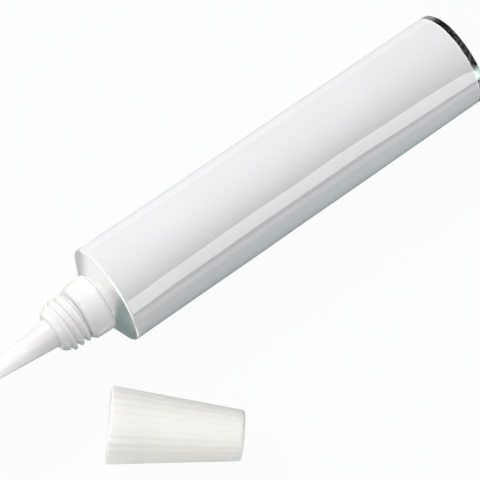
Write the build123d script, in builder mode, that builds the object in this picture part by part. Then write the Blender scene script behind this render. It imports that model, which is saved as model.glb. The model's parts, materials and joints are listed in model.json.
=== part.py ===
"""Eye ointment tube, open and empty, with its cap taken off and lying beside it.

A thin aluminium tube with a cone shoulder carries a moulded nozzle, snapped over its neck. The
ribbed cap screws on the nozzle's thread. The tube lies along X with the nozzle towards -X, and
the surface under the tube and the cap is Z = 0. Sizes are in millimetres and degrees.
"""

import os
from math import atan, cos, pi, radians, sin, sqrt, tan

from build123d import *

# Tube body: sleeve, shoulder and neck in one piece of aluminium
tube_diameter = 13.5
sleeve_length = 56.72
sleeve_wall = 0.13
rim_rounding = 0.35
shoulder_angle = 26.0
shoulder_wall = 0.55
seat_diameter = 8.0
neck_diameter = 5.4
neck_wall = 0.5
neck_height = 2.78

# Snap bead round the neck, which holds the nozzle
bead_height = 0.12
bead_width = 0.6
bead_drop = 0.7

# Nozzle: collar, thread, front lip and eye tip in one moulding
collar_base_diameter = 7.86
collar_draft_angle = 2.5
collar_height = 3.13
collar_chamfer_length = 0.6
collar_chamfer_depth = 0.5
base_chamfer = 0.08
spigot_length = 3.95
spigot_chamfer = 0.38
tip_base_diameter = 3.9
tip_end_diameter = 1.96
tip_length = 10.35
tip_chamfer = 0.25
orifice_diameter = 1.1
orifice_length = 3.0
channel_diameter = 3.2
socket_clearance = 0.02

# Thread on the nozzle: right-hand, 7 mm across, 1 mm pitch
thread_diameter = 7.0
thread_core_diameter = 5.9
thread_pitch = 1.0
thread_crest_width = 0.22
thread_flank_angle = 30.0
thread_lead_in = 0.85
thread_front_gap = 0.4
thread_start_angle = 82.5

# Cap: tapered, with fine ribs along its outside
cap_mouth_diameter = 9.8
cap_top_diameter = 6.3
cap_top_wall = 2.1
cap_top_chamfer = 0.3
cap_mouth_chamfer = 0.25
cap_rib_count = 26
cap_groove_depth = 0.15
cap_groove_width = 0.4
cap_thread_clearance = 0.08
cap_lip_clearance = 0.35
cap_tip_clearance = 0.35
cap_end_clearance = 0.2

# Where the cap lies: its mouth ahead of the tube's rim and beside its flank, turned about Z
cap_forward = 9.73
cap_gap = 1.98
cap_turn = -40.3

# Radii and heights along the tube's axis, from the rim plane towards the tip
tube_radius = tube_diameter / 2
bore_radius = tube_radius - sleeve_wall
seat_radius = seat_diameter / 2
neck_radius = neck_diameter / 2
neck_bore_radius = neck_radius - neck_wall
seat_height = (tube_radius - seat_radius) * tan(radians(shoulder_angle))
neck_top = seat_height + neck_height
bead_middle = neck_top - bead_drop
collar_front = seat_height + collar_height
spigot_front = collar_front + spigot_length
tip_end = spigot_front + tip_length
thread_radius = thread_diameter / 2
thread_core_radius = thread_core_diameter / 2

# The cap's bore takes the spigot with its thread, and then the tip
cap_mouth_radius = cap_mouth_diameter / 2
cap_top_radius = cap_top_diameter / 2
cap_thread_radius = thread_radius + cap_thread_clearance
cap_thread_depth = spigot_length + cap_lip_clearance
cap_bore_depth = spigot_length + tip_length + cap_end_clearance
cap_length = cap_bore_depth + cap_top_wall

# The cap rests on the two ribs beside its lowest groove, and its axis slopes down to its closed end
groove_half_angle = cap_groove_width / cap_mouth_diameter
rest_share = cos(groove_half_angle)
cap_slope = atan((cap_mouth_radius - cap_top_radius) * rest_share / cap_length)
cap_axis = Vector(
    cos(radians(cap_turn)) * cos(cap_slope),
    sin(radians(cap_turn)) * cos(cap_slope),
    -sin(cap_slope),
)
cap_upward = Vector(
    cos(radians(cap_turn)) * sin(cap_slope),
    sin(radians(cap_turn)) * sin(cap_slope),
    cos(cap_slope),
)
cap_aside = tube_radius + cap_gap + cap_mouth_radius
cap_reach = cap_aside - cap_axis.Y * cap_length + cap_top_radius * sqrt(1 - cap_axis.Y**2)

# The origin is on the surface below, under the middle of tube and cap
rim_x = (tip_end - sleeve_length) / 2
axis_y = (cap_reach - tube_radius) / 2
rim_centre = Vector(rim_x, axis_y, tube_radius)
cap_mouth_centre = Vector(
    rim_x - cap_forward,
    axis_y - cap_aside,
    cap_mouth_radius * rest_share * cos(cap_slope),
)

# Half sections: radius along the sketch's X, height along its Y
tube_section = Plane(origin=rim_centre, x_dir=(0, 0, 1), z_dir=(0, -1, 0))
tube_axis = Axis(tube_section.origin, tube_section.y_dir)
nozzle_plane = Plane(origin=rim_centre, x_dir=(0, 0, 1), z_dir=tube_section.y_dir)
cap_mouth_plane = Plane(origin=cap_mouth_centre, x_dir=cap_upward, z_dir=cap_axis)
cap_section = Plane(origin=cap_mouth_centre, x_dir=cap_upward, z_dir=-cap_mouth_plane.y_dir)
cap_centre_line = Axis(cap_section.origin, cap_section.y_dir)

# Tube body: a half section turned about the tube's axis, with the far end left open
shoulder_slope = radians(shoulder_angle)
cone_drop = shoulder_wall / cos(shoulder_slope)
inner_rim_height = sleeve_wall * tan(shoulder_slope) - cone_drop
inner_seat_height = seat_height - shoulder_wall
inner_seat_radius = tube_radius - (inner_seat_height + cone_drop) / tan(shoulder_slope)
with BuildPart() as tube_body:
    with BuildSketch(tube_section):
        with BuildLine():
            FilletPolyline(
                (tube_radius, -sleeve_length),
                (tube_radius, 0),
                (seat_radius, seat_height),
                (neck_radius, seat_height),
                (neck_radius, bead_middle - bead_width / 2),
                (neck_radius + bead_height, bead_middle),
                (neck_radius, bead_middle + bead_width / 2),
                (neck_radius, neck_top),
                (neck_bore_radius, neck_top),
                (neck_bore_radius, inner_seat_height),
                (inner_seat_radius, inner_seat_height),
                (bore_radius, inner_rim_height),
                (bore_radius, -sleeve_length),
                radius=[0, rim_rounding] + [0] * 11,
                close=True,
            )
        make_face()
    revolve(axis=tube_axis)

# Thread: a ridge swept up a helix about Z, trimmed to its crest and to the lead-in at the front
ridge_start = collar_front - thread_pitch
ridge_end = spigot_front - thread_front_gap
thread_overrun = (thread_radius - thread_core_radius) / 10
ridge_foot = thread_core_radius - thread_overrun
ridge_peak = thread_radius + thread_overrun
flank_slope = tan(radians(thread_flank_angle))
foot_half = thread_crest_width / 2 + (thread_radius - ridge_foot) * flank_slope
peak_half = thread_crest_width / 2 - (ridge_peak - thread_radius) * flank_slope
with BuildPart() as thread:
    with BuildLine() as thread_path:
        Helix(
            pitch=thread_pitch,
            height=ridge_end - ridge_start,
            radius=thread_core_radius,
            center=(0, 0, ridge_start),
        )
    with BuildSketch(Plane.XZ):
        with BuildLine():
            Polyline(
                (ridge_foot, ridge_start - foot_half),
                (ridge_peak, ridge_start - peak_half),
                (ridge_peak, ridge_start + peak_half),
                (ridge_foot, ridge_start + foot_half),
                close=True,
            )
        make_face()
    sweep(path=thread_path.wire(), is_frenet=True)
    with BuildSketch(Plane.XZ):
        with BuildLine():
            Polyline(
                (0, 0),
                (thread_radius, 0),
                (thread_radius, ridge_end - thread_lead_in),
                (thread_core_radius, ridge_end),
                (0, ridge_end),
                close=True,
            )
        make_face()
    revolve(axis=Axis.Z, mode=Mode.INTERSECT)
thread_in_place = nozzle_plane.location * thread.part.rotate(Axis.Z, thread_start_angle)

# Nozzle: collar seated on the shoulder's flat ring, snapped over the bead, open through the tip
collar_side_length = collar_height - collar_chamfer_length
collar_edge_radius = collar_base_diameter / 2 - collar_side_length * tan(radians(collar_draft_angle))
socket_radius = neck_radius + socket_clearance
socket_top = neck_top + socket_clearance
with BuildPart() as nozzle:
    with BuildSketch(tube_section):
        with BuildLine():
            Polyline(
                (socket_radius, seat_height),
                (collar_base_diameter / 2 - base_chamfer, seat_height),
                (collar_base_diameter / 2, seat_height + base_chamfer),
                (collar_edge_radius, seat_height + collar_side_length),
                (collar_edge_radius - collar_chamfer_depth, collar_front),
                (thread_core_radius, collar_front),
                (thread_core_radius, spigot_front - spigot_chamfer),
                (thread_core_radius - spigot_chamfer, spigot_front),
                (tip_base_diameter / 2, spigot_front),
                (tip_end_diameter / 2, tip_end - tip_chamfer),
                (tip_end_diameter / 2 - tip_chamfer, tip_end),
                (orifice_diameter / 2, tip_end),
                (orifice_diameter / 2, tip_end - orifice_length),
                (channel_diameter / 2, socket_top),
                (socket_radius, socket_top),
                (socket_radius, bead_middle + bead_width / 2),
                (socket_radius + bead_height, bead_middle),
                (socket_radius, bead_middle - bead_width / 2),
                close=True,
            )
        make_face()
    revolve(axis=tube_axis)
    add(thread_in_place)


def rib_point(radius, turn):
    """Point of the cap's outline, a number of ribs round from its lowest groove."""
    angle = pi + 2 * pi * turn / cap_rib_count
    return (radius * cos(angle), radius * sin(angle))


# Cap: ribbed outline lofted from mouth to top, its ends chamfered, and bored from the mouth
groove_half = groove_half_angle * cap_rib_count / (2 * pi)
chamfer_cone_start = cap_length - cap_top_chamfer - (cap_mouth_radius - cap_top_radius)
with BuildPart() as cap:
    for height, radius in ((0, cap_mouth_radius), (cap_length, cap_top_radius)):
        valley_radius = radius * (1 - cap_groove_depth / cap_mouth_radius)
        with BuildSketch(cap_mouth_plane.offset(height)):
            with BuildLine():
                for rib in range(cap_rib_count):
                    groove = Polyline(
                        rib_point(radius, rib - groove_half),
                        rib_point(valley_radius, rib),
                        rib_point(radius, rib + groove_half),
                    )
                    ThreePointArc(
                        groove @ 1,
                        rib_point(radius, rib + 0.5),
                        rib_point(radius, rib + 1 - groove_half),
                    )
            make_face()
    loft(ruled=True)
    with BuildSketch(cap_section):
        with BuildLine():
            Polyline(
                (0, 0),
                (cap_mouth_radius - cap_mouth_chamfer, 0),
                (cap_mouth_radius, cap_mouth_chamfer),
                (cap_mouth_radius, chamfer_cone_start),
                (cap_top_radius - cap_top_chamfer, cap_length),
                (0, cap_length),
                close=True,
            )
        make_face()
    revolve(axis=cap_centre_line, mode=Mode.INTERSECT)
    with BuildSketch(cap_section):
        with BuildLine():
            Polyline(
                (0, 0),
                (cap_thread_radius, 0),
                (cap_thread_radius, cap_thread_depth),
                (tip_base_diameter / 2 + cap_tip_clearance, cap_thread_depth),
                (tip_end_diameter / 2 + cap_tip_clearance, cap_bore_depth),
                (0, cap_bore_depth),
                close=True,
            )
        make_face()
    revolve(axis=cap_centre_line, mode=Mode.SUBTRACT)

tube_body.part.label = "tube_body"
nozzle.part.label = "nozzle"
cap.part.label = "cap"

os.makedirs("parts", exist_ok=True)
export_step(tube_body.part, "parts/tube_body.step")
export_step(nozzle.part, "parts/nozzle.step")
export_step(cap.part, "parts/cap.step")
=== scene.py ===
"""Eye ointment tube: white lacquered tube, moulded nozzle and ribbed cap, lit for a studio picture.

Sizes are written in millimetres, and MM turns them into the frame's metres. A turned piece is
drawn as an outline of heights and radii. The heights of tube and nozzle run from the tube's rim
towards the nozzle's tip, and those of the cap run from its mouth towards its closed end.
"""
import json
from math import ceil, cos, pi, radians, sin, tan

import bmesh
import bpy
from mathutils import Matrix, Vector


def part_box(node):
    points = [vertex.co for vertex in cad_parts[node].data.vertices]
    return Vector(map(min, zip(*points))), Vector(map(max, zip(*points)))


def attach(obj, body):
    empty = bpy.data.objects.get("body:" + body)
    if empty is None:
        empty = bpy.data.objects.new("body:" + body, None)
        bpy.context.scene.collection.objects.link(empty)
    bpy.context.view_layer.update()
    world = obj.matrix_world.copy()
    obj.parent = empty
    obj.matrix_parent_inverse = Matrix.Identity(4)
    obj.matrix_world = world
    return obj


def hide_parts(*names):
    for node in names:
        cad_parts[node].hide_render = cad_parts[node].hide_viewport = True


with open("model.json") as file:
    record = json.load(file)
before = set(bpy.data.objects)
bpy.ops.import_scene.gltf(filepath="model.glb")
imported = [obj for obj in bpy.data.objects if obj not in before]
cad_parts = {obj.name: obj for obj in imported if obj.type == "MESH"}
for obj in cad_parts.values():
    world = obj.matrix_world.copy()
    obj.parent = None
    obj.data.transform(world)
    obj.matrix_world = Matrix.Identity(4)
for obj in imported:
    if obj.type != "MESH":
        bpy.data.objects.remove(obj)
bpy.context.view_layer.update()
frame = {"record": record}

MM = 0.001
mounts = {mount["name"]: mount for mount in frame["record"]["mounts"]}

# Tube body
tube_low, tube_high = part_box("tube_body")
TUBE_RADIUS = (tube_high.z - tube_low.z) / 2 / MM
BORE_RADIUS = mounts["open_end"]["dims"]["r_mm"]
TUBE_SEGMENTS = 256
SLEEVE_LENGTH = 56.72
RIM_ROUNDING = 0.35
LACQUERED_RIM = 0.11
LIP_ROUNDING = 0.05
SHOULDER_ANGLE = radians(26.0)
SHOULDER_WALL = 0.55
SEAT_RADIUS = 4.0
SEAT_HEIGHT = (TUBE_RADIUS - SEAT_RADIUS) * tan(SHOULDER_ANGLE)
NECK_RADIUS = 2.7
NECK_WALL = 0.5
NECK_LENGTH = 2.78
NECK_TOP = SEAT_HEIGHT + NECK_LENGTH
BARE_RING_WIDTH = 0.85

# Unevenness of the thin sleeve: a drawn-in open end, a long shallow press, and ripples that are
# given as waves round the sleeve, twist for each millimetre, start angle and share
END_PULL_LENGTH = 3.0
END_PULL_DEPTH = 0.03
PRESS_DEPTH = 0.11
PRESS_MIDDLE = 23.0
PRESS_REACH = 21.0
PRESS_ANGLE = radians(42.0)
PRESS_WAVES = 3
RIPPLES = ((3, 0.23, 0.0, 1.0), (4, -0.41, 1.3, 0.7))
RIPPLE_DEPTH = 0.012
RIPPLE_FADE = 4.0

# Nozzle
NOZZLE_SEGMENTS = 192
COLLAR_BASE_RADIUS = 3.93
COLLAR_EDGE_RADIUS = 3.82
COLLAR_LENGTH = 3.13
COLLAR_FRONT = SEAT_HEIGHT + COLLAR_LENGTH
COLLAR_CHAMFER_LENGTH = 0.6
COLLAR_CHAMFER_DEPTH = 0.5
SPIGOT_RADIUS = 2.95
SPIGOT_LENGTH = 3.95
SPIGOT_FRONT = COLLAR_FRONT + SPIGOT_LENGTH
SPIGOT_CHAMFER = 0.38
TIP_BASE_RADIUS = 1.95
TIP_END_RADIUS = 0.98
TIP_LENGTH = 10.35
TIP_END = SPIGOT_FRONT + TIP_LENGTH
ORIFICE_RADIUS = 0.55
ORIFICE_LENGTH = 3.0
CHANNEL_RADIUS = 1.6
SOCKET_CLEARANCE = 0.02

# Thread
THREAD_RADIUS = 3.5
THREAD_PITCH = 1.0
THREAD_CREST = 0.22
THREAD_FLANK_RISE = 1 / tan(radians(30.0))
THREAD_SOFTNESS = 0.07
THREAD_LEAD_IN = 0.85
THREAD_TURN = 0.492
THREAD_START = COLLAR_FRONT - 0.01
THREAD_END = SPIGOT_FRONT - 0.55
CORE_TOLERANCE = 0.02

# Cap
CAP_MOUTH_RADIUS = 4.9
CAP_TOP_RADIUS = 3.15
CAP_LENGTH = 16.6
CAP_TOP_ROUNDING = 0.35
CAP_MOUTH_ROUNDING = 0.25
CAP_THREAD_RADIUS = mounts["cap_mouth"]["dims"]["r_mm"]
CAP_THREAD_DEPTH = mounts["cap_mouth"]["dims"]["length_mm"]
CAP_THREAD_HEIGHT = 0.42
CAP_THREAD_START = 0.5
CAP_THREAD_END = CAP_THREAD_DEPTH - 0.3
CAP_THREAD_TURN = 0.0
CAP_BORE_DEPTH = 14.5
CAP_TIP_CLEARANCE = 0.35
CAP_RIBS = 26
CAP_RIB_SEGMENTS = 24
CAP_RIB_TURN = 0.5
CAP_GROOVE_DEPTH = 0.11
CAP_GROOVE_WIDTH = 0.9
CAP_GROOVE_SOFTNESS = 0.35
GRIP_NONE, GRIP_FULL = 0.84, 0.95

# Outlines of the turned pieces
ROUND_STEPS = 6
SUPPORT_GAP = 0.03
POLE_RADIUS = 1e-6


def run_points(start, end, step):
    """Stations along a straight run, with one close to each of its ends."""
    length = (end - start).length
    if length < SUPPORT_GAP / 10:
        return []
    inset = min(SUPPORT_GAP, length / 4) / length
    steps = max(1, ceil(length / step))
    return [start.lerp(end, inset + (1 - 2 * inset) * index / steps) for index in range(steps + 1)]


def corner_points(place, before, after, rounding):
    """Stations round one corner of an outline."""
    if rounding == 0:
        return [place]
    to_before = (before - place).normalized()
    to_after = (after - place).normalized()
    half_angle = to_before.angle(to_after) / 2
    middle = place + (to_before + to_after).normalized() * rounding / sin(half_angle)
    reach = rounding / tan(half_angle)
    start = (place + to_before * reach - middle).normalized()
    end = (place + to_after * reach - middle).normalized()
    shares = [index / ROUND_STEPS for index in range(ROUND_STEPS + 1)]
    return [middle + start.slerp(end, share).normalized() * rounding for share in shares]


def outline_points(corners, closed):
    """Stations of an outline whose corners are (height, radius, rounding, step to the next)."""
    places = [Vector(corner[:2]) for corner in corners]
    count = len(corners)
    arcs = []
    for index, corner in enumerate(corners):
        after = places[(index + 1) % count]
        arcs.append(corner_points(places[index], places[index - 1], after, corner[2]))
    points = []
    for index, arc in enumerate(arcs):
        points.extend(arc)
        if closed or index < count - 1:
            points.extend(run_points(arc[-1], arcs[(index + 1) % count][0], corners[index][3]))
    return points


def turned_mesh(name, points, segments, closed, swell=None):
    """Turn an outline about the local X axis; swell adds to the radius by height and angle."""
    shell = bmesh.new()
    rings = []
    for height, radius in points:
        if radius < POLE_RADIUS:
            rings.append([shell.verts.new((height * MM, 0, 0))])
            continue
        ring = []
        for index in range(segments):
            angle = 2 * pi * index / segments
            reach = radius + (swell(height, angle) if swell else 0)
            ring.append(shell.verts.new((height * MM, reach * cos(angle) * MM, reach * sin(angle) * MM)))
        rings.append(ring)
    following = rings[1:] + rings[:1] if closed else rings[1:]
    for lower, upper in zip(rings, following):
        for index in range(segments):
            corners = [ring[(index + turn) % len(ring)] for ring, turn in
                       ((lower, 0), (lower, 1), (upper, 1), (upper, 0))]
            shell.faces.new(list(dict.fromkeys(corners)))
    bmesh.ops.recalc_face_normals(shell, faces=shell.faces)
    mesh = bpy.data.meshes.new(name)
    shell.to_mesh(mesh)
    shell.free()
    mesh.polygons.foreach_set("use_smooth", [True] * len(mesh.polygons))
    return mesh


# Places of the turned pieces in the frame
def place_matrix(origin, along, upward):
    """Matrix that lays the local X axis along a direction, with the local Z axis upward."""
    sideways = upward.cross(along)
    turn = Matrix((along, sideways, upward)).transposed()
    return Matrix.Translation(origin) @ turn.to_4x4()


tube_middle = (tube_low + tube_high) / 2
rim_centre = Vector((tube_high.x - SLEEVE_LENGTH * MM, tube_middle.y, tube_middle.z))
tube_place = place_matrix(rim_centre, Vector((-1, 0, 0)), Vector((0, 0, 1)))
cap_mouth_centre = Vector(mounts["cap_mouth"]["pos_m"])
cap_along = -Vector(mounts["cap_mouth"]["axis"]).normalized()
cap_upward = (Vector((0, 0, 1)) - cap_along * cap_along.z).normalized()
cap_place = place_matrix(cap_mouth_centre, cap_along, cap_upward)


# Node trees
class Nodes:
    """A node tree with short ways to add to it, shared by shapes, finishes and the studio."""

    def __init__(self, tree):
        self.tree = tree

    def node(self, kind):
        return self.tree.nodes.new(kind)

    def link(self, source, target):
        self.tree.links.new(source, target)

    def give(self, socket, value):
        """Set a number or a colour on a socket, or link another node's output to it."""
        if isinstance(value, (int, float)):
            socket.default_value = value
        elif isinstance(value, tuple):
            socket.default_value = (*value, 1)
        else:
            self.link(value, socket)

    def sum(self, operation, *values):
        """One Math node."""
        node = self.node("ShaderNodeMath")
        node.operation = operation
        for socket, value in zip(node.inputs, values):
            self.give(socket, value)
        return node.outputs[0]

    def parts(self, vector):
        """The X, Y and Z of a vector."""
        node = self.node("ShaderNodeSeparateXYZ")
        self.link(vector, node.inputs[0])
        return node.outputs

    def range(self, value, low, high, first=0.0, last=1.0, smooth=False):
        """Map a value from one range to another, clamped."""
        node = self.node("ShaderNodeMapRange")
        node.interpolation_type = "SMOOTHSTEP" if smooth else "LINEAR"
        self.link(value, node.inputs["Value"])
        for name, number in (("From Min", low), ("From Max", high), ("To Min", first), ("To Max", last)):
            node.inputs[name].default_value = number
        return node.outputs[0]

    def mix(self, share, first, second, kind="VALUE"):
        """Mix two values, or two colours where the kind is RGBA, by a share."""
        node = self.node("ShaderNodeMix")
        node.data_type = "RGBA" if kind == "RGBA" else "FLOAT"
        self.link(share, node.inputs["Factor"])
        pair = [socket for socket in node.inputs if socket.name in ("A", "B") and socket.type == kind]
        for socket, value in zip(pair, (first, second)):
            self.give(socket, value)
        return next(socket for socket in node.outputs if socket.type == kind)

    def blend(self, share, first, second):
        """Blend two colours by a share."""
        return self.mix(share, first, second, kind="RGBA")


# Rules that shape the thread and the ribs, as Geometry Nodes
class ShapeRule(Nodes):
    """A Geometry Nodes tree that moves the points of a turned piece in or out from its axis."""

    def __init__(self, name, sizes):
        super().__init__(bpy.data.node_groups.new(name, "GeometryNodeTree"))
        sockets = self.tree.interface
        sockets.new_socket("Geometry", in_out="INPUT", socket_type="NodeSocketGeometry")
        for size in sizes:
            sockets.new_socket(size, in_out="INPUT", socket_type="NodeSocketFloat")
        sockets.new_socket("Finish", in_out="INPUT", socket_type="NodeSocketMaterial")
        sockets.new_socket("Geometry", in_out="OUTPUT", socket_type="NodeSocketGeometry")
        self.inputs = self.node("NodeGroupInput").outputs
        position = self.node("GeometryNodeInputPosition").outputs["Position"]
        self.height, self.side, self.rise = self.parts(position)
        square = self.sum("ADD", self.sum("POWER", self.side, 2.0), self.sum("POWER", self.rise, 2.0))
        self.radius = self.sum("SQRT", square)
        self.turn = self.sum("DIVIDE", self.sum("ARCTAN2", self.rise, self.side), 2 * pi)

    def from_middle(self, turns):
        """Distance of a number of turns from the middle of its own turn, in turns."""
        return self.sum("ABSOLUTE", self.sum("SUBTRACT", self.sum("FRACT", turns), 0.5))

    def move_out(self, distance):
        """Move every point out by a distance and end the tree."""
        share = self.sum("DIVIDE", distance, self.sum("MAXIMUM", self.radius, POLE_RADIUS))
        offset = self.node("ShaderNodeCombineXYZ")
        self.link(self.sum("MULTIPLY", self.side, share), offset.inputs[1])
        self.link(self.sum("MULTIPLY", self.rise, share), offset.inputs[2])
        move = self.node("GeometryNodeSetPosition")
        realize = self.node("GeometryNodeRealizeInstances")
        finish = self.node("GeometryNodeSetMaterial")
        output = self.node("NodeGroupOutput")
        self.link(self.inputs["Geometry"], move.inputs["Geometry"])
        self.link(offset.outputs[0], move.inputs["Offset"])
        self.link(move.outputs[0], realize.inputs[0])
        self.link(realize.outputs[0], finish.inputs["Geometry"])
        self.link(self.inputs["Finish"], finish.inputs["Material"])
        self.link(finish.outputs[0], output.inputs[0])
        return self.tree


def thread_rule():
    """A ridge that climbs a right-hand helix on a core, with soft edges and a lead-in."""
    rule = ShapeRule("screw_thread", (
        "Core radius", "Ridge height", "Outward", "Pitch", "Crest width", "Flank rise", "Softness",
        "First height", "Last height", "Lead-in", "Start turn"))
    given = rule.inputs
    climbed = rule.sum("DIVIDE", rule.height, given["Pitch"])
    turns = rule.sum("SUBTRACT", rule.sum("SUBTRACT", climbed, rule.turn), given["Start turn"])
    from_crest = rule.sum("MULTIPLY", rule.from_middle(turns), given["Pitch"])
    past_crest = rule.sum("MULTIPLY_ADD", given["Crest width"], -0.5, from_crest)
    drop = rule.sum("MULTIPLY", past_crest, given["Flank rise"])
    soft_drop = rule.sum("SMOOTH_MAX", drop, 0.0, given["Softness"])
    flank = rule.sum("SUBTRACT", given["Ridge height"], soft_drop)
    to_end = rule.sum("DIVIDE", rule.sum("SUBTRACT", given["Last height"], rule.height), given["Lead-in"])
    lead_in = rule.sum("MULTIPLY", to_end, given["Ridge height"])
    ridge = rule.sum("SMOOTH_MIN", flank, lead_in, given["Softness"])
    ridge = rule.sum("MAXIMUM", rule.sum("SMOOTH_MAX", ridge, 0.0, given["Softness"]), 0.0)
    on_core = rule.sum("COMPARE", rule.radius, given["Core radius"], CORE_TOLERANCE * MM)
    started = rule.sum("GREATER_THAN", rule.height, given["First height"])
    ended = rule.sum("LESS_THAN", rule.height, given["Last height"])
    there = rule.sum("MULTIPLY", on_core, rule.sum("MULTIPLY", started, ended))
    return rule.move_out(rule.sum("MULTIPLY", rule.sum("MULTIPLY", ridge, there), given["Outward"]))


def rib_rule():
    """Grooves along a tapered grip, which leave ribs between them."""
    rule = ShapeRule("grip_ribs", (
        "Rib count", "Groove depth", "Groove width", "Softness", "Mouth radius", "Taper", "Start turn"))
    given = rule.inputs
    narrowed = rule.sum("MULTIPLY", rule.height, given["Taper"])
    grip_radius = rule.sum("SUBTRACT", given["Mouth radius"], narrowed)
    ribs_round = rule.sum("MULTIPLY", rule.turn, given["Rib count"])
    turns = rule.sum("ADD", rule.sum("SUBTRACT", ribs_round, given["Start turn"]), 0.5)
    rib_pitch = rule.sum("DIVIDE", rule.sum("MULTIPLY", given["Mouth radius"], 2 * pi), given["Rib count"])
    from_groove = rule.sum("MULTIPLY", rule.from_middle(turns), rib_pitch)
    half_width = rule.sum("MULTIPLY", given["Groove width"], 0.5)
    depth = rule.sum("SUBTRACT", 1.0, rule.sum("DIVIDE", from_groove, half_width))
    soft_depth = rule.sum("SMOOTH_MAX", depth, 0.0, given["Softness"])
    reached = rule.sum("DIVIDE", rule.radius, grip_radius)
    on_grip = rule.range(reached, GRIP_NONE, GRIP_FULL, smooth=True)
    size = rule.sum("DIVIDE", grip_radius, given["Mouth radius"])
    groove = rule.sum("MULTIPLY", rule.sum("MULTIPLY", soft_depth, given["Groove depth"]), size)
    return rule.move_out(rule.sum("MULTIPLY", rule.sum("MULTIPLY", groove, on_grip), -1.0))


def shaped_mesh(mesh, rules, finish):
    """Apply shape rules, given as (tree, sizes) pairs, and return the result as a plain mesh."""
    blank = bpy.data.objects.new(mesh.name + "_blank", mesh)
    bpy.context.scene.collection.objects.link(blank)
    for tree, sizes in rules:
        modifier = blank.modifiers.new(tree.name, "NODES")
        modifier.node_group = tree
        for socket in tree.interface.items_tree:
            if socket.name in sizes:
                modifier[socket.identifier] = float(sizes[socket.name])
            elif socket.name == "Finish":
                modifier[socket.identifier] = finish
    shaped = bpy.data.meshes.new_from_object(blank.evaluated_get(bpy.context.evaluated_depsgraph_get()))
    blank.modifiers.clear()
    bpy.data.objects.remove(blank)
    return shaped


# Finishes: tones and roughness run from a blotch's least to its most, edges are in millimetres
MOTTLE_DETAIL = 4.0
MOTTLE_FINENESS = 0.55
LACQUER_TONES = ((0.85, 0.855, 0.865), (0.88, 0.88, 0.885))
LACQUER_ROUGHNESS = (0.008, 0.018)
LACQUER_IOR = 1.65
LACQUER_BEAD_TONE = (0.97, 0.97, 0.97)
LACQUER_BEAD_START, LACQUER_BEAD_FULL = 0.4, 0.1
LACQUER_EDGE_WAVER = 0.08
LACQUER_EDGE_BEFORE, LACQUER_EDGE_AFTER = 0.02, 0.05
# Bare ring at the open end: its tones are painted dark grey-green, a painted reflection of dark
# surroundings and not the aluminium's own colour
RING_PAINTED_REFLECTION_TONES = ((0.2, 0.25, 0.235), (0.42, 0.47, 0.45))
RING_ROUGHNESS = (0.07, 0.28)
ALUMINIUM_TONES = ((0.90, 0.905, 0.90), (0.94, 0.945, 0.94))
SHOULDER_ROUGHNESS = (0.18, 0.26)
SHOULDER_STRETCH = (1, 1, 1)
INSIDE_ROUGHNESS = (0.28, 0.4)
INSIDE_STRETCH = (0.04, 1, 1)
PLASTIC_GLOW = (1.0, 0.97, 0.95)
NOZZLE_TONES = ((0.83, 0.82, 0.805), (0.85, 0.84, 0.825))
NOZZLE_ROUGHNESS = (0.14, 0.2)
NOZZLE_GLOW_SHARE = 0.85
NOZZLE_GLOW_DEPTH = 1.0
CAP_TONES = ((0.87, 0.855, 0.82), (0.885, 0.87, 0.835))
CAP_ROUGHNESS = (0.5, 0.62)
CAP_GLOW_SHARE = 1.0
CAP_GLOW_DEPTH = 2.0


class Finish(Nodes):
    """A procedural material with one Principled shader and the nodes that feed it."""

    def __init__(self, name):
        self.material = bpy.data.materials.new(name)
        self.material.use_nodes = True
        super().__init__(self.material.node_tree)
        self.tree.nodes.clear()
        self.shader = self.node("ShaderNodeBsdfPrincipled")
        output = self.node("ShaderNodeOutputMaterial")
        self.link(self.shader.outputs[0], output.inputs["Surface"])
        self.place = self.node("ShaderNodeTexCoord").outputs["Object"]

    def set(self, **values):
        """Set plain values on the shader; an underscore in a name stands for a space."""
        for name, value in values.items():
            self.shader.inputs[name.replace("_", " ")].default_value = value

    def feed(self, source, name):
        self.link(source, self.shader.inputs[name])

    def mottle(self, size, contrast, stretch=(1, 1, 1)):
        """Place the shared mottle, with a size in millimetres; its tone runs from 0 to 1."""
        mapping = self.node("ShaderNodeMapping")
        mapping.inputs["Scale"].default_value = stretch
        self.link(self.place, mapping.inputs["Vector"])
        group = self.node("ShaderNodeGroup")
        group.node_tree = mottle_group
        group.inputs["Grains per metre"].default_value = 1 / (size * MM)
        group.inputs["Contrast"].default_value = contrast
        self.link(mapping.outputs[0], group.inputs["Place"])
        return group.outputs["Tone"]

    def relief(self, height, depth):
        """Feed the shader's normal with a relief of a given depth in millimetres."""
        bump = self.node("ShaderNodeBump")
        bump.inputs["Strength"].default_value = 1.0
        bump.inputs["Distance"].default_value = depth * MM
        self.link(height, bump.inputs["Height"])
        self.feed(bump.outputs[0], "Normal")


def build_mottle_group():
    """Soft irregular mottle shared by all the finishes."""
    group = Nodes(bpy.data.node_groups.new("mottle", "ShaderNodeTree"))
    sockets = group.tree.interface
    sockets.new_socket("Place", in_out="INPUT", socket_type="NodeSocketVector")
    sockets.new_socket("Grains per metre", in_out="INPUT", socket_type="NodeSocketFloat")
    sockets.new_socket("Contrast", in_out="INPUT", socket_type="NodeSocketFloat")
    sockets.new_socket("Tone", in_out="OUTPUT", socket_type="NodeSocketFloat")
    given = group.node("NodeGroupInput").outputs
    noise = group.node("ShaderNodeTexNoise")
    noise.inputs["Detail"].default_value = MOTTLE_DETAIL
    noise.inputs["Roughness"].default_value = MOTTLE_FINENESS
    group.link(given["Place"], noise.inputs["Vector"])
    group.link(given["Grains per metre"], noise.inputs["Scale"])
    centred = group.sum("SUBTRACT", noise.outputs[0], 0.5)
    tone = group.sum("MULTIPLY_ADD", centred, given["Contrast"], 0.5)
    tone.node.use_clamp = True
    group.link(tone, group.node("NodeGroupOutput").inputs["Tone"])
    return group.tree


mottle_group = build_mottle_group()


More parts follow.
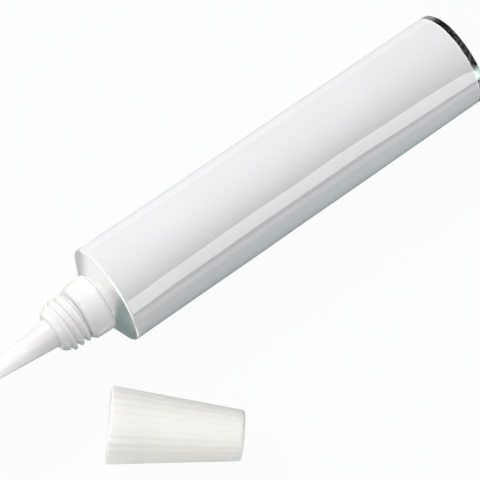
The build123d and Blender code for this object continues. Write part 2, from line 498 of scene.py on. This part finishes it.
def white_lacquer():
    """Gloss white lacquer that ends in a thicker bead, short of the open end's bare aluminium ring, whose
    dark grey-green tone is a painted reflection of dark surroundings.
    """
    finish = Finish("white_lacquer")
    along = finish.parts(finish.place)["X"]
    uneven = finish.sum("MULTIPLY_ADD", finish.mottle(0.5, 1.5), LACQUER_EDGE_WAVER * MM, along)
    edge = tube_high.x - BARE_RING_WIDTH * MM
    bare = finish.range(uneven, edge - LACQUER_EDGE_BEFORE * MM, edge + LACQUER_EDGE_AFTER * MM)
    bead = finish.range(uneven, edge - LACQUER_BEAD_START * MM, edge - LACQUER_BEAD_FULL * MM, smooth=True)
    lacquer = finish.blend(finish.mottle(6.0, 2.0), *LACQUER_TONES)
    lacquer = finish.blend(bead, lacquer, LACQUER_BEAD_TONE)
    # The bare ring's colour is painted: a dark grey-green that stands for the dark surroundings the bare
    # aluminium mirrors
    ring_painted_reflection = finish.blend(finish.mottle(0.35, 3.0), *RING_PAINTED_REFLECTION_TONES)
    finish.feed(finish.blend(bare, lacquer, ring_painted_reflection), "Base Color")
    finish.feed(bare, "Metallic")
    gloss = finish.range(finish.mottle(1.5, 2.0), 0, 1, *LACQUER_ROUGHNESS)
    dull = finish.range(finish.mottle(0.45, 4.0), 0, 1, *RING_ROUGHNESS)
    finish.feed(finish.mix(bare, gloss, dull), "Roughness")
    finish.set(IOR=LACQUER_IOR)
    finish.relief(finish.mottle(0.8, 1.0), 0.0003)
    return finish.material


def bare_aluminium(name, stretch, roughness):
    """Bare aluminium with fine marks; they run where the stretch is smallest."""
    finish = Finish(name)
    marks = finish.mottle(0.25, 2.5, stretch=stretch)
    finish.feed(finish.blend(marks, *ALUMINIUM_TONES), "Base Color")
    finish.feed(finish.range(marks, 0, 1, *roughness), "Roughness")
    finish.set(Metallic=1.0)
    finish.relief(marks, 0.001)
    return finish.material


def nozzle_plastic():
    """Smooth white moulded plastic with a little light in it."""
    finish = Finish("nozzle_plastic")
    finish.feed(finish.blend(finish.mottle(2.5, 2.0), *NOZZLE_TONES), "Base Color")
    finish.feed(finish.range(finish.mottle(0.7, 2.0), 0, 1, *NOZZLE_ROUGHNESS), "Roughness")
    finish.set(Subsurface_Weight=NOZZLE_GLOW_SHARE, Subsurface_Radius=PLASTIC_GLOW,
               Subsurface_Scale=NOZZLE_GLOW_DEPTH * MM)
    finish.relief(finish.mottle(0.35, 1.0), 0.0015)
    return finish.material


def cap_plastic():
    """Matt milky plastic with a fine moulded grain."""
    finish = Finish("cap_plastic")
    finish.feed(finish.blend(finish.mottle(3.0, 2.0), *CAP_TONES), "Base Color")
    finish.feed(finish.range(finish.mottle(0.4, 2.0), 0, 1, *CAP_ROUGHNESS), "Roughness")
    finish.set(Subsurface_Weight=CAP_GLOW_SHARE, Subsurface_Radius=PLASTIC_GLOW,
               Subsurface_Scale=CAP_GLOW_DEPTH * MM)
    finish.relief(finish.mottle(0.15, 1.5), 0.003)
    return finish.material


# Pieces
def add_piece(name, mesh, place):
    """Put a finished mesh in its place, for the node of the same name."""
    mesh.transform(place)
    piece = bpy.data.objects.new(name + "_finished", mesh)
    bpy.context.scene.collection.objects.link(piece)
    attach(piece, "root")
    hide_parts(name)
    return piece


def sleeve_swell(height, angle):
    """Slight unevenness of the sleeve, in millimetres: ripples, a press along its side, a drawn-in end."""
    from_end = height + SLEEVE_LENGTH
    from_rim = max(0.0, min(1.0, -height / RIPPLE_FADE))
    ripple = sum(share * (sin(waves * angle + twist * height + start) - 1)
                 for waves, twist, start, share in RIPPLES)
    ripple *= RIPPLE_DEPTH * max(0.0, min(1.0, from_end / RIPPLE_FADE))
    press = PRESS_DEPTH * (1 - ((height + PRESS_MIDDLE) / PRESS_REACH) ** 2)
    press *= sin(PRESS_WAVES * (angle - PRESS_ANGLE)) * max(0.0, cos(angle - PRESS_ANGLE))
    pulled = max(0.0, 1 - from_end / END_PULL_LENGTH) ** 2
    return from_rim * (ripple + press) - END_PULL_DEPTH * pulled


def make_tube_body():
    """Sleeve, shoulder and neck as one thin shell, lacquered outside and bare inside."""
    cone_drop = SHOULDER_WALL / cos(SHOULDER_ANGLE)
    wall = TUBE_RADIUS - BORE_RADIUS
    inner_rim = wall * tan(SHOULDER_ANGLE) - cone_drop
    inner_seat = SEAT_HEIGHT - SHOULDER_WALL
    inner_seat_radius = TUBE_RADIUS - (inner_seat + cone_drop) / tan(SHOULDER_ANGLE)
    corners = (
        (-SLEEVE_LENGTH, TUBE_RADIUS, LIP_ROUNDING, 0.8),
        (0, TUBE_RADIUS, RIM_ROUNDING, 0.6),
        (SEAT_HEIGHT, SEAT_RADIUS, 0.1, 0.3),
        (SEAT_HEIGHT, NECK_RADIUS, 0, 0.6),
        (NECK_TOP, NECK_RADIUS, 0.1, 0.5),
        (NECK_TOP, NECK_RADIUS - NECK_WALL, 0.1, 0.6),
        (inner_seat, NECK_RADIUS - NECK_WALL, 0.15, 0.3),
        (inner_seat, inner_seat_radius, 0.3, 0.6),
        (inner_rim, BORE_RADIUS, 0.25, 1.6),
        (-SLEEVE_LENGTH, BORE_RADIUS, LIP_ROUNDING, 0.1),
    )
    points = outline_points(corners, closed=True)
    mesh = turned_mesh("tube_body", points, TUBE_SEGMENTS, closed=True, swell=sleeve_swell)
    mesh.materials.append(white_lacquer())
    mesh.materials.append(bare_aluminium("shoulder_aluminium", SHOULDER_STRETCH, SHOULDER_ROUGHNESS))
    mesh.materials.append(bare_aluminium("inside_aluminium", INSIDE_STRETCH, INSIDE_ROUGHNESS))
    lacquer_end = LACQUERED_RIM - RIM_ROUNDING * tan((pi / 2 - SHOULDER_ANGLE) / 2)
    skin = (TUBE_RADIUS + BORE_RADIUS) / 2
    for face in mesh.polygons:
        height = face.center.x / MM
        from_axis = face.center.yz / MM
        outward = face.normal.yz.dot(from_axis.normalized())
        inside = outward < -0.5 or (face.normal.x < -0.5 and from_axis.length < skin)
        face.material_index = 2 if inside else int(height > lacquer_end)
    return add_piece("tube_body", mesh, tube_place)


def make_nozzle(thread):
    """Collar, threaded spigot and eye tip as one moulding, open through the tip."""
    socket_radius = NECK_RADIUS + SOCKET_CLEARANCE
    socket_top = NECK_TOP + SOCKET_CLEARANCE
    corners = (
        (SEAT_HEIGHT, socket_radius, 0, 0.6),
        (SEAT_HEIGHT, COLLAR_BASE_RADIUS, 0.05, 0.4),
        (COLLAR_FRONT - COLLAR_CHAMFER_LENGTH, COLLAR_EDGE_RADIUS, 0.25, 0.2),
        (COLLAR_FRONT, COLLAR_EDGE_RADIUS - COLLAR_CHAMFER_DEPTH, 0.1, 0.2),
        (COLLAR_FRONT, SPIGOT_RADIUS, 0, 0.045),
        (SPIGOT_FRONT - SPIGOT_CHAMFER, SPIGOT_RADIUS, 0.1, 0.2),
        (SPIGOT_FRONT, SPIGOT_RADIUS - SPIGOT_CHAMFER, 0.1, 0.2),
        (SPIGOT_FRONT, TIP_BASE_RADIUS, 0.2, 0.5),
        (TIP_END, TIP_END_RADIUS, 0.28, 0.2),
        (TIP_END, ORIFICE_RADIUS, 0.06, 0.4),
        (TIP_END - ORIFICE_LENGTH, ORIFICE_RADIUS, 0.3, 0.6),
        (socket_top, CHANNEL_RADIUS, 0.05, 0.4),
        (socket_top, socket_radius, 0, 0.6),
    )
    blank = turned_mesh("nozzle", outline_points(corners, closed=True), NOZZLE_SEGMENTS, closed=True)
    sizes = {
        "Core radius": SPIGOT_RADIUS * MM,
        "Ridge height": (THREAD_RADIUS - SPIGOT_RADIUS) * MM,
        "Outward": 1,
        "Pitch": THREAD_PITCH * MM,
        "Crest width": THREAD_CREST * MM,
        "Flank rise": THREAD_FLANK_RISE,
        "Softness": THREAD_SOFTNESS * MM,
        "First height": THREAD_START * MM,
        "Last height": THREAD_END * MM,
        "Lead-in": THREAD_LEAD_IN * MM,
        "Start turn": THREAD_TURN,
    }
    mesh = shaped_mesh(blank, [(thread, sizes)], nozzle_plastic())
    return add_piece("nozzle", mesh, tube_place)


def make_cap(thread, ribs):
    """Tapered cap with ribs outside, and a threaded mouth and a blind bore for the tip inside."""
    corners = (
        (CAP_BORE_DEPTH, 0, 0, 0.6),
        (CAP_BORE_DEPTH, TIP_END_RADIUS + CAP_TIP_CLEARANCE, 0.3, 1.5),
        (CAP_THREAD_DEPTH, TIP_BASE_RADIUS + CAP_TIP_CLEARANCE, 0.2, 0.5),
        (CAP_THREAD_DEPTH, CAP_THREAD_RADIUS, 0.15, 0.09),
        (0, CAP_THREAD_RADIUS, 0.12, 0.3),
        (0, CAP_MOUTH_RADIUS, CAP_MOUTH_ROUNDING, 0.9),
        (CAP_LENGTH, CAP_TOP_RADIUS, CAP_TOP_ROUNDING, 0.35),
        (CAP_LENGTH, 0, 0, 0.5),
    )
    segments = CAP_RIBS * CAP_RIB_SEGMENTS
    blank = turned_mesh("cap", outline_points(corners, closed=False), segments, closed=False)
    rib_sizes = {
        "Rib count": CAP_RIBS,
        "Groove depth": CAP_GROOVE_DEPTH * MM,
        "Groove width": CAP_GROOVE_WIDTH * MM,
        "Softness": CAP_GROOVE_SOFTNESS,
        "Mouth radius": CAP_MOUTH_RADIUS * MM,
        "Taper": (CAP_MOUTH_RADIUS - CAP_TOP_RADIUS) / CAP_LENGTH,
        "Start turn": CAP_RIB_TURN,
    }
    thread_sizes = {
        "Core radius": CAP_THREAD_RADIUS * MM,
        "Ridge height": CAP_THREAD_HEIGHT * MM,
        "Outward": -1,
        "Pitch": THREAD_PITCH * MM,
        "Crest width": THREAD_CREST * MM,
        "Flank rise": THREAD_FLANK_RISE,
        "Softness": THREAD_SOFTNESS * MM,
        "First height": CAP_THREAD_START * MM,
        "Last height": CAP_THREAD_END * MM,
        "Lead-in": THREAD_LEAD_IN * MM,
        "Start turn": CAP_THREAD_TURN,
    }
    mesh = shaped_mesh(blank, [(ribs, rib_sizes), (thread, thread_sizes)], cap_plastic())
    return add_piece("cap", mesh, cap_place)


thread = thread_rule()
make_tube_body()
nozzle = make_nozzle(thread)
cap = make_cap(thread, rib_rule())

# Studio, with its places and sizes in metres
WHITE = (1.0, 1.0, 1.0)
FLOOR_REACH = 1.6
FLOOR_FRONT = -0.041
FLOOR_COLOUR = (0.46, 0.52, 0.535)
WHITE_SEEN = 0.96
KEY_DIRECTION = Vector((-0.25, 0.60, 0.75)).normalized()
KEY_DISTANCE = 0.6
KEY_SIZE = 0.22
KEY_POWER = 3.22
TOP_PLACE = Vector((-0.35, -0.2, 0.55))
TOP_SIZE = 0.5
TOP_POWER = 1.76
FILL_PLACE = Vector((-0.24, -0.29, 0.19))
FILL_TARGET = Vector((-0.025, -0.004, 0.005))
FILL_SIZE = 0.2
FILL_POWER = 0.34
FILL_COLOUR = (1, 0.99, 0.97)
TIP_LAMP_TARGET = Vector((-0.0355, 0.01, 0.007))
TIP_LAMP_WIDTH = radians(2.0)
TIP_LAMP_SIZE = 0.003
TIP_LAMP_POWER = 2.9
PANEL_LOW, PANEL_HIGH = 0.001, 0.157
PANEL_LEFT, PANEL_RIGHT = 0.02, 0.165
PANEL_AWAY = 0.25
PANEL_BRIGHTNESS = 3.6
PANEL_COLOUR = (0.97, 0.99, 1.0)

# Strength of the world: as lacquer and metal mirror it, outside and inside of a dark band that
# fades between two pairs of directions along X, as it glows on the pieces, and as it is seen
STUDIO_MIRRORED = 0.95
STUDIO_DARK = 0.02
DARK_LEFT = (0.2, 0.06)
DARK_RIGHT = (0.44, 0.6)
STUDIO_GLOW = 0.04
STUDIO_SEEN = 0.985

# Cards on the floor, in millimetres: along each axis a card's share grows between the first two
# places and falls between the last two. The first two change the light the floor bounces; the others
# are seen only in reflections and are painted shade: patches that stand for the shadows of nozzle
# and tube on the floor and for shaded floor, as mirrored in the shoulder, collar and sleeve
FROM_AFAR = (-1000, -999)
TO_AFAR = (999, 1000)
CAP_CARD = {"X": (*FROM_AFAR, -28, -18), "Y": (*FROM_AFAR, -8, 0), "colour": (0.62, 0.61, 0.585)}
SHADE_CARD = {"X": (-45, -38, -6, 26), "Y": (-5, 1, 10, 14), "colour": (0.22, 0.26, 0.27)}
# Painted shadow of the nozzle on the floor, seen mirrored in the lower side of the shoulder
NOZZLE_SHADOW_CARD = {"X": (*FROM_AFAR, -16, -13), "Y": (2.4, 3.6, 7.0, 11.5), "colour": (0.225, 0.29, 0.282)}
# Painted shade of the floor in front, seen mirrored along the sleeve's lower edge
SLEEVE_SHADE_CARD = {"X": (-19, -16.5, *TO_AFAR), "Y": (-22, -11, 4, 7), "colour": (0.16, 0.22, 0.23)}
# Painted shade, seen mirrored in the lower side of the collar
COLLAR_SHADE_CARD = {"X": (-24, -21, -17, -14), "Y": (-14, -8, -3.5, -0.5), "colour": (0.12, 0.18, 0.19)}
# Painted contact shadow of the tube, seen mirrored at the shoulder's upper edge
SHOULDER_SHADOW_CARD = {"X": (-34, -22, -16, -14), "Y": (13, 16, 28, 32), "colour": (0.55, 0.56, 0.56)}
# Painted shade behind the tube, seen mirrored along the sleeve's upper side
REAR_SHADE_CARD = {"X": (-15, -12, *TO_AFAR), "Y": (13, 16, *TO_AFAR), "colour": (0.72, 0.73, 0.74)}
BOUNCING_CARDS = (CAP_CARD, SHADE_CARD)
PAINTED_REFLECTION_CARDS = (NOZZLE_SHADOW_CARD, SLEEVE_SHADE_CARD, COLLAR_SHADE_CARD, SHOULDER_SHADOW_CARD, REAR_SHADE_CARD)


def any_ray(nodes, *kinds):
    """1 for rays of the given kinds, 0 for the others."""
    path = nodes.node("ShaderNodeLightPath")
    share = path.outputs[kinds[0]]
    for kind in kinds[1:]:
        share = nodes.sum("MAXIMUM", share, path.outputs[kind])
    return share


def lay_cards(floor, under, cards):
    """Lay cards over the floor's colour one after another, each as far as it reaches along both axes."""
    places = floor.parts(floor.node("ShaderNodeTexCoord").outputs["Object"])
    for card in cards:
        share = 1.0
        for axis in ("X", "Y"):
            rise, risen, full, gone = (place * MM for place in card[axis])
            for start, end in ((rise, risen), (gone, full)):
                edge = floor.range(places[axis], start, end, smooth=True)
                share = floor.sum("MULTIPLY", edge, share)
        under = floor.blend(share, under, card["colour"])
    return under


def floor_white():
    """Floor that is seen mostly as plain white, keeps some of the shadow and bounces light."""
    material = bpy.data.materials.new("floor_white")
    material.use_nodes = True
    floor = Nodes(material.node_tree)
    floor.tree.nodes.clear()
    matt = floor.node("ShaderNodeBsdfDiffuse")
    floor.link(lay_cards(floor, FLOOR_COLOUR, BOUNCING_CARDS), matt.inputs["Color"])
    white = floor.node("ShaderNodeEmission")
    # Glossy rays see the floor's white with painted shade cards laid on it: painted reflections of shadows
    mirrored = lay_cards(floor, WHITE, PAINTED_REFLECTION_CARDS)
    floor.link(floor.blend(any_ray(floor, "Is Glossy Ray"), WHITE, mirrored), white.inputs["Color"])
    seen = any_ray(floor, "Is Camera Ray", "Is Glossy Ray", "Is Transmission Ray")
    mix = floor.node("ShaderNodeMixShader")
    output = floor.node("ShaderNodeOutputMaterial")
    floor.link(floor.sum("MULTIPLY", seen, WHITE_SEEN), mix.inputs[0])
    floor.link(matt.outputs[0], mix.inputs[1])
    floor.link(white.outputs[0], mix.inputs[2])
    floor.link(mix.outputs[0], output.inputs["Surface"])
    return material


def make_floor():
    """A white floor that ends a little way in front of the tube."""
    front, reach = FLOOR_FRONT, FLOOR_REACH
    mesh = bpy.data.meshes.new("floor")
    mesh.from_pydata([(-reach, front, 0), (reach, front, 0), (reach, reach, 0), (-reach, reach, 0)],
                     [], [(0, 1, 2, 3)])
    mesh.materials.append(floor_white())
    floor = bpy.data.objects.new("floor", mesh)
    bpy.context.scene.collection.objects.link(floor)


def hang_lamp(lamp, place, target):
    """Hang a lamp at a place so that it faces a target."""
    holder = bpy.data.objects.new(lamp.name, lamp)
    holder.location = place
    holder.rotation_euler = (place - target).to_track_quat("Z", "Y").to_euler()
    bpy.context.scene.collection.objects.link(holder)
    return holder


def add_soft_lamp(name, place, target, size, power, colour=WHITE):
    """A soft rectangular lamp that isn't seen itself."""
    lamp = bpy.data.lights.new(name, "AREA")
    lamp.shape = "RECTANGLE"
    lamp.size, lamp.size_y = size
    lamp.energy = power
    lamp.color = colour
    holder = hang_lamp(lamp, place, target)
    holder.visible_camera = False
    return holder


def add_narrow_lamp(name, place, target, width, size, power):
    """A small lamp with a narrow cone of light that fades towards its edge."""
    lamp = bpy.data.lights.new(name, "SPOT")
    lamp.spot_size = width
    lamp.spot_blend = 1.0
    lamp.shadow_soft_size = size
    lamp.energy = power
    return hang_lamp(lamp, place, target)


def light_only(holder, piece):
    """Let a lamp light one piece and no other."""
    lit = bpy.data.collections.new(holder.name + "_lit")
    lit.objects.link(piece)
    holder.light_linking.receiver_collection = lit


def make_lights():
    """Key lamp from behind, soft lamp above, lamps for cap and nozzle alone, and a panel in front."""
    key_place = tube_middle + KEY_DIRECTION * KEY_DISTANCE
    add_soft_lamp("key_lamp", key_place, tube_middle, (KEY_SIZE, KEY_SIZE), KEY_POWER)
    add_soft_lamp("top_lamp", TOP_PLACE, tube_middle, (TOP_SIZE, TOP_SIZE), TOP_POWER)
    fill = add_soft_lamp("fill_lamp", FILL_PLACE, FILL_TARGET, (FILL_SIZE, FILL_SIZE), FILL_POWER,
                         FILL_COLOUR)
    light_only(fill, cap)
    tip = add_narrow_lamp("tip_lamp", FILL_PLACE, TIP_LAMP_TARGET, TIP_LAMP_WIDTH, TIP_LAMP_SIZE,
                          TIP_LAMP_POWER)
    light_only(tip, nozzle)
    panel_place = Vector(((PANEL_LEFT + PANEL_RIGHT) / 2, -PANEL_AWAY, (PANEL_LOW + PANEL_HIGH) / 2))
    panel_size = (PANEL_RIGHT - PANEL_LEFT, PANEL_HIGH - PANEL_LOW)
    panel_power = PANEL_BRIGHTNESS * pi * panel_size[0] * panel_size[1]
    add_soft_lamp("front_panel", panel_place, panel_place + Vector((0, 1, 0)), panel_size, panel_power,
                  PANEL_COLOUR)


def make_studio():
    """World that is seen and mirrored as white, but for a dark band, and that hardly glows."""
    world = bpy.data.worlds.new("studio")
    bpy.context.scene.world = world
    world.use_nodes = True
    studio = Nodes(world.node_tree)
    background = studio.tree.nodes["Background"]
    studio.give(background.inputs["Color"], WHITE)
    side = studio.parts(studio.node("ShaderNodeTexCoord").outputs["Generated"])["X"]
    left, right = (studio.range(side, start, end, STUDIO_DARK, STUDIO_MIRRORED, smooth=True)
                   for start, end in (DARK_LEFT, DARK_RIGHT))
    band = studio.sum("MAXIMUM", left, right)
    mirrored = studio.mix(any_ray(studio, "Is Glossy Ray"), STUDIO_GLOW, band)
    seen = studio.mix(any_ray(studio, "Is Camera Ray", "Is Transmission Ray"), mirrored, STUDIO_SEEN)
    studio.link(seen, background.inputs["Strength"])


make_floor()
make_lights()
make_studio()

# Camera, with its lengths in millimetres, but for the clip start in metres
CAMERA_TURN = radians(-37.761)
CAMERA_RISE = radians(62.988)
CAMERA_DISTANCE = 282.29
CAMERA_TARGET = Vector((-0.894, 5.859, 6.75))
CAMERA_LENS = 166.47
CAMERA_SENSOR = 36.0
CAMERA_CLIP_START = 0.01


def make_camera():
    """Camera that looks down on the tube from the nozzle's side."""
    level = cos(CAMERA_RISE)
    back = Vector((sin(CAMERA_TURN) * level, -cos(CAMERA_TURN) * level, sin(CAMERA_RISE)))
    camera = bpy.data.cameras.new("camera")
    camera.lens = CAMERA_LENS
    camera.sensor_width = CAMERA_SENSOR
    camera.clip_start = CAMERA_CLIP_START
    holder = bpy.data.objects.new("camera", camera)
    holder.location = (CAMERA_TARGET + back * CAMERA_DISTANCE) * MM
    holder.rotation_euler = back.to_track_quat("Z", "Y").to_euler()
    bpy.context.scene.collection.objects.link(holder)
    bpy.context.scene.camera = holder


make_camera()
bpy.context.scene.view_settings.view_transform = "Standard"
